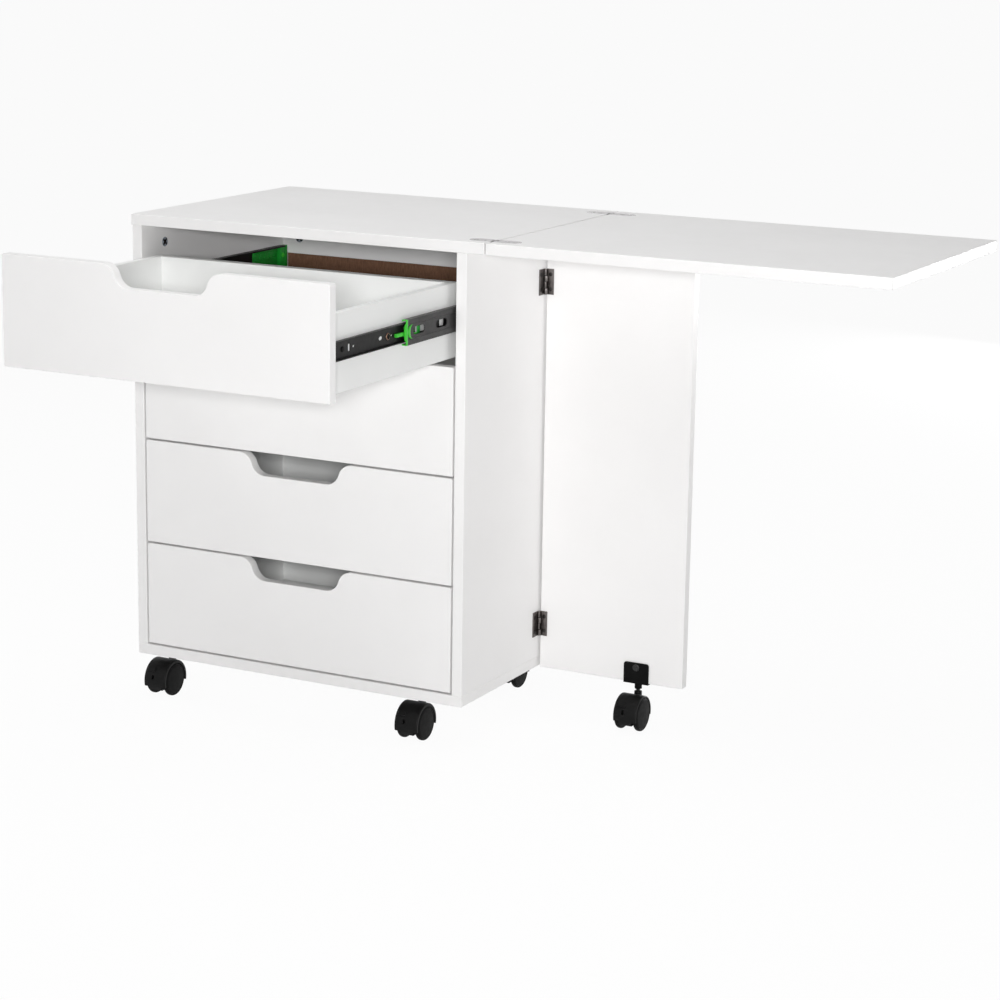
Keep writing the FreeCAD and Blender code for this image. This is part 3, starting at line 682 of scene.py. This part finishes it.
def rail_screws():
    first_mesh = screw_head("rail_screw_head", *rail_screw)
    later_mesh = screw_head("bronze_screw_head", *bronze_screw)
    radius, height, _ = bronze_screw
    recess = shade_cross("bronze_screw_recess_shade", radius, height, bronze_cross_shares)
    case_mesh = screw_head("case_screw_head", *case_screw)
    case_low, case_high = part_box("case_rails")
    for n in drawers:
        body = "drawer_%d" % n
        low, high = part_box("drawer_%d_rails" % n)
        z = (low.z + high.z) / 2
        for side, web, wall, outward in (("left", low.x + rail_web_depth, case_low.x + case_wall, -1),
                                         ("right", high.x - rail_web_depth, case_high.x - case_wall, 1)):
            for k in range(rail_screw_count):
                point = Vector((web, low.y + rail_screw_first + k * rail_screw_pitch, z))
                place = facing(point, (outward, 0, 0), rail_spin_step * k + rail_spin_first)
                name = "drawer_%d_%s_rail_screw_%d" % (n, side, k + 1)
                if k == 0:
                    put(name, first_mesh, place, body, black_clip, "black_rail")
                    continue
                put(name, later_mesh, place, body, bronzed, "black_rail")
                # A black cross of painted shade fills the recess of each bronze screw
                put(name + "_recess", recess, place, body, black_clip, "black_rail")
            for k, step in enumerate(case_screw_steps):
                point = Vector((wall, case_low.y + step, z))
                place = facing(point, (-outward, 0, 0), case_spin_step * k + case_spin_first)
                put("case_%d_%s_rail_screw_%d" % (n, side, k + 1), case_mesh, place, "cabinet", blackened,
                    "black_rail")


def cam_locks():
    left_low, left_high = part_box("left_side_panel")
    right_low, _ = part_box("right_side_panel")
    rail_low, rail_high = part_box("top_back_rail")
    places = []
    for row, z in enumerate((left_high.z - cam_drop, left_low.z + cam_drop)):
        for column, y in enumerate((left_low.y + cam_inset, left_high.y - cam_inset)):
            name = "side_cam_%d_%d" % (row + 1, column + 1)
            places.append(("left_" + name, "side", (left_high.x, y, z), (1, 0, 0)))
            places.append(("right_" + name, "side", (right_low.x, y, z), (-1, 0, 0)))
    rail_z = rail_high.z - cam_rail_drop
    for side, x in (("left", rail_low.x + cam_rail_inset), ("right", rail_high.x - cam_rail_inset)):
        places.append(("back_rail_cam_" + side, "rail", (x, rail_low.y, rail_z), (0, -1, 0)))
    sizes = {"side": side_cam, "rail": rail_cam}
    faces = {kind: cam_face(kind + "_cam", *size) for kind, size in sizes.items()}
    # Black crosses of painted shade mark the cams' slots
    slots = {kind: shade_cross(kind + "_cam_slot_shade", *size, cam_cross_shares) for kind, size in sizes.items()}
    for name, kind, point, normal in places:
        place = facing(Vector(point), normal, cam_spin)
        put(name, faces[kind], place, "cabinet", cam_zinc, "zinc_steel")
        put(name + "_slot", slots[kind], place, "cabinet", black_screw, "zinc_steel")


# Gate hinges

def hinge_leaf_mesh(name, low, high, feet, radius, shift):
    """Hinge leaf: its plate between two corners, and its knuckles round the pin from given feet."""
    bm = bmesh.new()
    brick(bm, low, high)
    top = hinge_height / knuckle_count - knuckle_gap
    edge = radius - knuckle_chamfer
    outline = [(0, 0), (edge, 0), (radius, knuckle_chamfer), (radius, top - knuckle_chamfer), (edge, top),
               (0, top)]
    for foot in feet:
        turned(bm, [(r, h + foot) for r, h in outline], barrel_steps, shift=(shift, 0, 0))
    return bevelled(name, bm, hinge_bevel)


def fine_gate_hinges():
    fixed_low, fixed_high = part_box("gate_hinge_fixed_leaves")
    _, moving_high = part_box("gate_hinge_moving_leaves")
    pin_x, pin_y = fixed_low.x + pin_offset, moving_high.y - pin_offset
    inside = hinge_thick - pin_offset
    feet = [k * hinge_height / knuckle_count + knuckle_gap / 2 for k in range(knuckle_count)]
    fixed = hinge_leaf_mesh("hinge_fixed_leaf", (-pin_offset, fixed_low.y - pin_y, 0),
                            (inside, 0, hinge_height), feet[1::2], slim_knuckle, slim_knuckle - knuckle_radius)
    moving = hinge_leaf_mesh("hinge_moving_leaf", (0, -inside, 0),
                             (moving_high.x - pin_x, pin_offset, hinge_height), feet[0::2], knuckle_radius, 0)
    for name, foot in (("low", fixed_low.z), ("high", fixed_high.z - hinge_height)):
        place = Matrix.Translation((pin_x, pin_y, foot))
        put_for("gate_hinge_fixed_leaves", "gate_hinge_fixed_leaf_" + name, fixed, place, "cabinet",
                nickel, "dark_nickel")
        put_for("gate_hinge_moving_leaves", "gate_hinge_moving_leaf_" + name, moving, place, "gate",
                nickel, "dark_nickel")


# Soft-close units

def unit_mesh(name, hand):
    """Moulded unit in the rear of a cabinet rail, on one wall or the other."""
    bm = bmesh.new()

    def add(depth, y_span, z_span, to_bmesh=wall_brick):
        to_bmesh(bm, hand, case_wall, case_wall + depth, y_span, z_span)

    inner = unit_half - unit_ridge_height
    slot_half = unit_slot_share * unit_half
    ridge_front = unit_ridge_height - unit_length
    track_front = -unit_track_share * unit_length
    add(unit_bed, (-unit_length, 0), (-unit_half, unit_half))
    add(unit_ridge, (ridge_front, -unit_tail), (inner, unit_half), wall_bricks)
    add(unit_ridge, (track_front, -unit_tail), (slot_half, slot_half + unit_bed), wall_bricks)
    add(unit_housing, (-unit_tail, 0), (-unit_half, unit_half))
    add(unit_cap_depth, (-unit_cap, 0), (-unit_cap_half, unit_cap_half))
    step = (unit_tail - unit_cap) / (unit_rib_count + 1)
    rib_half = unit_rib_share * step
    for k in range(unit_rib_count):
        y = -unit_tail + (k + 1) * step
        add(unit_housing + unit_rib, (y - rib_half, y + rib_half), (-inner, slot_half))
    for k in range(unit_rib_count):
        y = -unit_ladder_share * unit_length + k * (unit_length - unit_tail) / unit_rib_count
        add(unit_ridge, (y, y + unit_ridge), (slot_half, inner), wall_bricks)
    catch_end = -unit_length - unit_catch_lead
    catch_half = unit_catch_share * unit_half
    add(unit_bed, (catch_end, -unit_length), (-slot_half / 2, slot_half / 2))
    add(unit_ridge, (catch_end - unit_catch, catch_end), (-catch_half, catch_half))
    return bevelled(name, bm, unit_bevel)


def boss_mesh(name, hand):
    """Round boss with a rounded rim and a blind bore on the housing's face."""
    bm = bmesh.new()
    foot = case_wall + unit_housing - unit_rib
    top = foot + 2 * unit_rib + unit_bed
    radius = unit_boss_radius
    bore = unit_boss_bore_share * radius
    outline = [(0, foot), (radius, foot), (radius, top - unit_rib)]
    outline += arc_points((radius - unit_rib, top - unit_rib), unit_rib, 20, 90, small_bend_steps)
    outline += [(bore, top), (bore, top - unit_rib), (0, top - unit_rib)]
    turned(bm, [(r, hand * h) for r, h in outline], barrel_steps, "X")
    return as_mesh(name, bm)


def soft_close_units():
    sides = (("left", 1), ("right", -1))
    units = {side: unit_mesh(side + "_soft_close", hand) for side, hand in sides}
    bosses = {side: boss_mesh(side + "_soft_close_boss", hand) for side, hand in sides}
    case_low, case_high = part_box("case_rails")
    unit_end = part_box("soft_close_units")[1].y
    for n in drawers:
        low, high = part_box("drawer_%d_rails" % n)
        for side, wall in (("left", case_low.x), ("right", case_high.x)):
            place = Matrix.Translation((wall, unit_end, (low.z + high.z) / 2))
            # The units take the darker green, painted shade of the cabinet's inside; their bosses keep the
            # plain green
            put_for("soft_close_units", "soft_close_unit_%d_%s" % (n, side), units[side], place, "cabinet",
                    shaded_green, "green_plastic")
            raised = place @ Matrix.Translation((0, -(unit_tail + unit_cap) / 2, unit_boss_rise))
            put("soft_close_boss_%d_%s" % (n, side), bosses[side], raised, "cabinet", green, "green_plastic")


# Slides

def drawer_rail_mesh(name, hand, length):
    """Channel on the drawer's side, with the slots, holes and openings along its web."""
    bm = bmesh.new()
    lip = rail_half - rail_wall
    upper = [(rail_wall, lip), (rail_depth, lip), (rail_depth, rail_half)]
    upper += arc_points((rail_round, rail_half - rail_round), rail_round, 90, 180, small_bend_steps)
    outline = [(hand * x, z) for x, z in upper] + [(hand * x, -z) for x, z in reversed(upper)]
    prism(bm, "Y", outline, 0, length)
    cutter = bmesh.new()
    reach = 2 * rail_wall
    for middle, long, high in rail_cuts:
        brick(cutter, (-reach, middle - long / 2, -high / 2), (reach, middle + long / 2, high / 2))
    turns = [2 * math.pi * k / bore_steps for k in range(bore_steps)]
    for middle, half_long, half_high in rail_bores:
        ring = [(middle + half_long * math.cos(a), half_high * math.sin(a)) for a in turns]
        prism(cutter, "X", ring, -reach, reach)
    cuts = as_mesh(name + "_cuts", cutter)
    return cut_and_joined(name, as_mesh(name + "_blank", bm), [("DIFFERENCE", cuts)])


def lever_mesh(name, hand):
    """Release lever: a thumb piece, and a body with two arms that reach back to its tail."""
    bm = bmesh.new()
    arms = (lever_body[1], lever_tail[0])
    wall_brick(bm, hand, rail_wall, lever_far, lever_body, (-lever_half, lever_half))
    wall_bricks(bm, hand, rail_wall, lever_far, arms, (lever_half - lever_bar, lever_half))
    thumb_rise = (-thumb_drop - thumb_half, thumb_half - thumb_drop)
    wall_brick(bm, hand, rail_wall, thumb_far, thumb_span, thumb_rise)
    return bevelled(name, bm, lever_bevel, 3)


def lever_tail_mesh(name, hand):
    """Tail of the release lever, which ends its arms."""
    bm = bmesh.new()
    wall_brick(bm, hand, rail_wall, lever_far, lever_tail, (-lever_half, lever_half))
    return bevelled(name, bm, lever_bevel, 3)


def cap_mesh(name, hand):
    """Green cap on the middle rail's end: two hooks, a plate with a round bumper, and a crescent."""
    bm = bmesh.new()
    near, far = cap_near + cap_wall, cap_far - cap_wall
    roof = cap_half - cap_wall
    hook = [(cap_near, cap_lip), (cap_near, cap_half), (cap_far, cap_half), (cap_far, cap_opening),
            (far, cap_opening), (far, roof), (near, roof), (near, cap_lip)]
    for side in (1, -1):
        prism(bm, "Y", [(hand * x, side * z) for x, z in hook], 0, cap_length)
    plate = [(0, -cap_opening), (cap_length, -cap_opening), (cap_length, cap_opening), (0, cap_opening)]
    prism(bm, "X", plate, hand * far, hand * cap_far)
    half = cap_steps // 2
    turns = [math.pi * k / cap_steps for k in range(-half, half + 1)]
    bumper = [(-cap_bulge * math.cos(a), cap_bar_half * math.sin(a)) for a in turns]
    bumper += [(cap_length / 2, cap_bar_half), (cap_length / 2, -cap_bar_half)]
    prism(bm, "X", bumper, hand * (cap_far - cap_bar), hand * (cap_far - cap_bar_sink))
    half = crescent_steps // 2
    turns = [math.pi * k / crescent_steps for k in range(-half, half + 1)]
    depth = crescent_reach - crescent_crown
    crescent = [(crescent_reach - depth * math.cos(a), crescent_half * math.sin(a)) for a in turns]
    crescent += [(crescent_reach - (depth - crescent_waist) * math.cos(a), crescent_half * math.sin(a))
                 for a in reversed(turns[1:-1])]
    prism(bm, "X", crescent, hand * crescent_near, hand * crescent_far)
    return bevelled(name, bm, cap_bevel)


def fine_slides():
    sides = (("left", -1), ("right", 1))
    low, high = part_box("drawer_1_rails")
    rails = {side: drawer_rail_mesh(side + "_drawer_rail", hand, high.y - low.y) for side, hand in sides}
    levers = {side: lever_mesh(side + "_release_lever", hand) for side, hand in sides}
    tails = {side: lever_tail_mesh(side + "_lever_tail", hand) for side, hand in sides}
    caps = {side: cap_mesh(side + "_rail_cap", hand) for side, hand in sides}
    for n in drawers:
        body = "drawer_%d" % n
        low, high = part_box("drawer_%d_rails" % n)
        cap_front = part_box("drawer_%d_mid_rails" % n)[0].y - cap_length
        axis = (low.z + high.z) / 2
        for side, wall in (("left", low.x + rail_depth), ("right", high.x - rail_depth)):
            name = "drawer_%d_%s_" % (n, side)
            place = Matrix.Translation((wall, low.y, axis))
            cap_place = Matrix.Translation((wall, cap_front, axis))
            put_for("drawer_%d_rails" % n, name + "rail_fine", rails[side], place, body,
                    black_coat, "black_rail")
            put_for("drawer_%d_release_levers" % n, name + "lever_fine", levers[side], place, body,
                    green, "green_plastic")
            # The tail takes the darker green, painted shade on it
            put(name + "lever_tail", tails[side], place, body, shaded_green, "green_plastic")
            put_for("drawer_%d_rail_caps" % n, name + "cap_fine", caps[side], cap_place,
                    "drawer_%d_slide_members" % n, green, "green_plastic")


# Casters

def wheel_mesh():
    """Two wheels with rounded treads, a groove round each domed face and the axle between them."""
    bm = bmesh.new()
    face = wheel_outer - wheel_dome
    shoulder = wheel_radius - wheel_round
    groove = shoulder - wheel_groove
    outline = [(0, wheel_outer)]
    for k in range(1, dome_steps + 1):
        radius = (groove - 2 * wheel_groove) * k / dome_steps
        outline.append((radius, face + wheel_dome * math.cos(k / dome_steps * math.pi / 2)))
    outline += [(groove - wheel_groove, face - wheel_groove), (groove, face - wheel_groove), (shoulder, face)]
    outline += arc_points((shoulder, face - wheel_round), wheel_round, tread_edge_angle, 0, bend_steps)
    back = (wheel_radius - wheel_back_round, wheel_inner + wheel_back_round)
    outline += arc_points(back, wheel_back_round, 0, -90, bend_steps)
    outline += [(axle_radius, wheel_inner), (axle_radius, 0)]
    outline += [(radius, -height) for radius, height in reversed(outline[:-1])]
    turned(bm, outline, wheel_steps, "X")
    return as_mesh("caster_wheels", bm)


def hood_shell(radius, half):
    """Arched hood over both wheels, rounded along its two rims, seen from its axle's centre."""
    bm = bmesh.new()
    bend = hood_round
    right = arc_points((half - bend, radius - bend), bend, 0, 90, bend_steps)
    left = arc_points((bend - half, radius - bend), bend, 90, 180, bend_steps)
    section = [(half, hood_inside)] + right + left + [(-half, hood_inside)]
    sweep(bm, section, hood_front_angle, hood_rear_angle, hood_steps)
    return as_mesh("hood_shell", bm)


def hood_web(radius):
    """Web between the wheels, cut off flat at its foot."""
    bm = bmesh.new()
    reach = (radius + hood_inside) / 2
    dip = math.degrees(math.asin((wheel_radius - web_low) / reach))
    prism(bm, "X", arc_points((0, 0), reach, 180 + dip, -dip, web_steps), -web_half, web_half)
    return as_mesh("hood_web", bm)


def hood_latch(radius):
    """Low raised latch on the front of the hood."""
    bm = bmesh.new()
    left, right = latch_place - latch_width / 2, latch_place + latch_width / 2
    low, high = (radius + hood_inside) / 2, radius + latch_rise
    bend = latch_rise / 2
    section = [(right, low), (right, high - bend), (right - bend, high), (left + bend, high),
               (left, high - bend), (left, low)]
    sweep(bm, section, *latch_angles, latch_steps)
    return as_mesh("hood_latch", bm)


def hood_neck(radius, trail):
    """Neck that flares into the hood at its foot, is rounded at its top and is bored for the stem."""
    bm = bmesh.new()
    base = math.sqrt(radius ** 2 - trail ** 2)
    top = neck_top - wheel_radius
    flare = neck_foot - neck_radius
    lip = neck_radius - neck_bore
    outline = [(0, base / 2), (neck_foot, base / 2), (neck_foot, base)]
    outline += arc_points((neck_foot, base + flare), flare, 270, 180, flare_steps)
    outline += arc_points((neck_radius - lip / 2, top - lip / 2), lip / 2, 0, 90, small_bend_steps)
    outline += [(neck_bore, top), (neck_bore, top - 2 * lip), (0, top - 2 * lip)]
    turned(bm, outline, head_steps, shift=(0, trail, 0))
    return as_mesh("hood_neck", bm)


def hood_window(radius):
    """Block that opens the small window in the hood's front."""
    bm = bmesh.new()
    x, z = window_place
    brick(bm, (x - window_width / 2, -2 * radius, z - window_height / 2),
          (x + window_width / 2, window_depth - radius, z + window_height / 2))
    return as_mesh("hood_window", bm)


def hood_mesh(name, radius, half, trail):
    """Whole hood: shell, web, latch and neck in one piece, with its window opened."""
    steps = [("UNION", hood_web(radius)), ("UNION", hood_neck(radius, trail)), ("UNION", hood_latch(radius)),
             ("DIFFERENCE", hood_window(radius))]
    return cut_and_joined(name, hood_shell(radius, half), steps)


def fine_casters():
    wheels = wheel_mesh()
    wheel_low, wheel_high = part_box("gate_caster_wheels")
    stem_low, stem_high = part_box("gate_caster_stem")
    trail = (stem_low.y + stem_high.y - wheel_low.y - wheel_high.y) / 2
    hoods = {"gate": hood_mesh("gate_hood", *gate_hood, trail)}
    cabinet_mesh = hood_mesh("cabinet_hood", *cabinet_hood, trail)
    for name in casters:
        low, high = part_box(name + "_caster_wheels")
        place = Matrix.Translation((low + high) / 2)
        put_for(name + "_caster_wheels", name + "_wheels_fine", wheels, place, name + "_wheel_pair",
                black_tread, "black_wheel")
        put_for(name + "_caster_hood", name + "_hood_fine", hoods.get(name, cabinet_mesh), place,
                name + "_caster", black_hood, "black_plastic")


def nut_mesh():
    """Hexagon nut with its corners chamfered, standing on its own foot."""
    bm = bmesh.new()
    end, edge = nut_radius - nut_chamfer, nut_chamfer / 2
    outline = [(0, 0), (end, 0), (nut_radius, edge), (nut_radius, nut_height - edge), (end, nut_height),
               (0, nut_height)]
    turned(bm, outline, nut_sides)
    return as_mesh("stem_nut", bm)


def thread_mesh(low, high):
    """Stem with the ridges of its thread, between two heights."""
    bm = bmesh.new()
    core = stem_radius - thread_depth
    flat = thread_flat_share * thread_pitch
    outline = [(0, low), (core, low)]
    for k in range(int((high - low) / thread_pitch)):
        foot = low + k * thread_pitch
        outline += [(core, foot + flat), (stem_radius, foot + thread_pitch / 2),
                    (core, foot + thread_pitch - flat)]
    turned(bm, outline + [(core, high), (0, high)], barrel_steps)
    return as_mesh("caster_stem", bm)


def gate_stem():
    low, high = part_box("gate_caster_stem")
    x, y = (low.x + high.x) / 2, (low.y + high.y) / 2
    put_for("gate_caster_stem", "gate_caster_stem_fine", thread_mesh(low.z, high.z),
            Matrix.Translation((x, y, 0)), "gate", blackened, "black_bracket")
    put("gate_caster_nut", nut_mesh(), Matrix.Translation((x, y, nut_foot)), "gate", black_clip,
        "black_bracket")


# Studio

def seen_directly(tree):
    """1 for rays from the camera, a mirror or glass."""
    rays = tree.nodes.new("ShaderNodeLightPath")
    total = rays.outputs["Is Camera Ray"]
    for name in ("Is Glossy Ray", "Is Transmission Ray"):
        either = tree.nodes.new("ShaderNodeMath")
        either.operation = "MAXIMUM"
        tree.links.new(total, either.inputs[0])
        tree.links.new(rays.outputs[name], either.inputs[1])
        total = either.outputs[0]
    return total


def floor():
    """Pale floor that reads white to the camera and still takes the table's shadow."""
    bm = bmesh.new()
    bmesh.ops.create_grid(bm, x_segments=1, y_segments=1, size=floor_half)
    piece = bpy.data.objects.new("floor", as_mesh("floor", bm))
    bpy.context.scene.collection.objects.link(piece)
    material = bpy.data.materials.new("pale_floor")
    material.use_nodes = True
    tree = material.node_tree
    shader = tree.nodes["Principled BSDF"]
    shader.inputs["Base Color"].default_value = (*grey(floor_grey), 1)
    shader.inputs["Roughness"].default_value = floor_rough
    shader.inputs["Specular IOR Level"].default_value = floor_specular
    glow = tree.nodes.new("ShaderNodeEmission")
    glow.inputs["Strength"].default_value = 1
    share = tree.nodes.new("ShaderNodeMath")
    share.operation = "MULTIPLY"
    share.inputs[1].default_value = floor_glow_share
    blend = tree.nodes.new("ShaderNodeMixShader")
    tree.links.new(seen_directly(tree), share.inputs[0])
    tree.links.new(share.outputs[0], blend.inputs["Fac"])
    tree.links.new(shader.outputs["BSDF"], blend.inputs[1])
    tree.links.new(glow.outputs["Emission"], blend.inputs[2])
    tree.links.new(blend.outputs["Shader"], tree.nodes["Material Output"].inputs["Surface"])
    piece.data.materials.append(material)


def world():
    """Even light all round, white to the camera."""
    made = bpy.data.worlds.new("studio")
    bpy.context.scene.world = made
    made.use_nodes = True
    tree = made.node_tree
    light = tree.nodes["Background"]
    backdrop = tree.nodes.new("ShaderNodeBackground")
    for node, strength in ((light, world_strength), (backdrop, 1)):
        node.inputs["Color"].default_value = (1, 1, 1, 1)
        node.inputs["Strength"].default_value = strength
    blend = tree.nodes.new("ShaderNodeMixShader")
    tree.links.new(seen_directly(tree), blend.inputs["Fac"])
    tree.links.new(light.outputs["Background"], blend.inputs[1])
    tree.links.new(backdrop.outputs["Background"], blend.inputs[2])
    tree.links.new(blend.outputs["Shader"], tree.nodes["World Output"].inputs["Surface"])


def softbox(name, place, target, size, power):
    """Soft lamp of a given width and height that faces a point."""
    data = bpy.data.lights.new(name, "AREA")
    data.shape = "RECTANGLE"
    data.size, data.size_y = size
    data.energy = power
    lamp = bpy.data.objects.new(name, data)
    lamp.location = place
    lamp.rotation_mode = "QUATERNION"
    lamp.rotation_quaternion = (Vector(target) - Vector(place)).to_track_quat("-Z", "Y")
    bpy.context.scene.collection.objects.link(lamp)


def camera():
    """Camera at the photograph's viewpoint."""
    yaw, pitch, roll = (math.radians(a) for a in (camera_yaw, camera_pitch, camera_roll))
    ahead = Vector((-math.sin(yaw) * math.cos(pitch), math.cos(yaw) * math.cos(pitch), -math.sin(pitch)))
    level = Vector((math.cos(yaw), math.sin(yaw), 0))
    above = level.cross(ahead)
    right = math.cos(roll) * level + math.sin(roll) * above
    up = math.cos(roll) * above - math.sin(roll) * level
    data = bpy.data.cameras.new("camera")
    data.lens = camera_lens
    data.sensor_width = camera_sensor
    view = bpy.data.objects.new("camera", data)
    turn = Matrix((right, up, -ahead)).transposed().to_4x4()
    view.matrix_world = Matrix.Translation(camera_place) @ turn
    bpy.context.scene.collection.objects.link(view)
    bpy.context.scene.camera = view


dress()
gate_hinge_screws()
leaf_hinge_screws()
clip_screws()
rail_screws()
cam_locks()
fine_gate_hinges()
soft_close_units()
fine_slides()
fine_casters()
gate_stem()
floor()
world()
for lamp in lamps:
    softbox(*lamp)
camera()
bpy.context.scene.view_settings.view_transform = "Standard"
